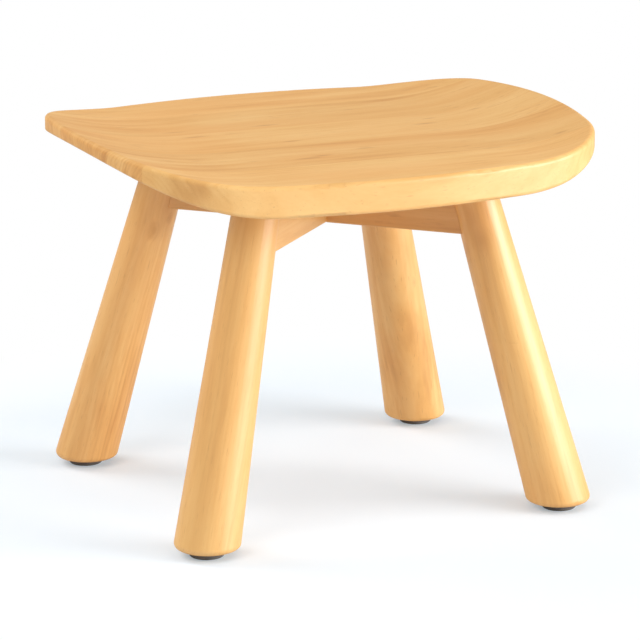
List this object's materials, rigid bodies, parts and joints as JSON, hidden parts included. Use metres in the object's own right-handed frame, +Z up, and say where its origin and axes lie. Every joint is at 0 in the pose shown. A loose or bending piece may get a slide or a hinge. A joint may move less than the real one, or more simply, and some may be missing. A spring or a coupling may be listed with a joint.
{
  "type": "low stool",
  "caption": "Low solid wood stool with a dished, edge-glued seat on splayed round legs that thicken to the floor, tied by diagonally crossed rails.",
  "frame": {"origin": "on the floor under the middle of the seat", "axes": "+X along the seat to the right, +Y to the back, +Z up"},
  "size_m": [0.399, 0.3516, 0.2991],
  "materials": {
    "seat_wood": "clear satin varnish",
    "leg_wood": "clear satin varnish",
    "rail_wood": "clear satin varnish",
    "dowel_wood": "plain beech, fluted and glued",
    "pad_rubber": "matt",
    "zinc_steel": "bright zinc"
  },
  "bodies": {
    "root": {"seat_board_front": "seat_wood", "seat_board_front_middle": "seat_wood", "seat_board_centre": "seat_wood", "seat_board_rear_middle": "seat_wood", "seat_board_rear": "seat_wood", "rail_front_left_to_rear_right": "rail_wood", "rail_rear_left_to_front_right": "rail_wood", "leg_front_left": "leg_wood", "leg_dowel_front_left": "dowel_wood", "seat_screw_front_left": "zinc_steel", "foot_pad_front_left": "pad_rubber", "foot_washer_front_left": "zinc_steel", "foot_screw_front_left": "zinc_steel", "leg_front_right": "leg_wood", "leg_dowel_front_right": "dowel_wood", "seat_screw_front_right": "zinc_steel", "foot_pad_front_right": "pad_rubber", "foot_washer_front_right": "zinc_steel", "foot_screw_front_right": "zinc_steel", "leg_rear_left": "leg_wood", "leg_dowel_rear_left": "dowel_wood", "seat_screw_rear_left": "zinc_steel", "foot_pad_rear_left": "pad_rubber", "foot_washer_rear_left": "zinc_steel", "foot_screw_rear_left": "zinc_steel", "leg_rear_right": "leg_wood", "leg_dowel_rear_right": "dowel_wood", "seat_screw_rear_right": "zinc_steel", "foot_pad_rear_right": "pad_rubber", "foot_washer_rear_right": "zinc_steel", "foot_screw_rear_right": "zinc_steel"}
  },
  "joints": []
}
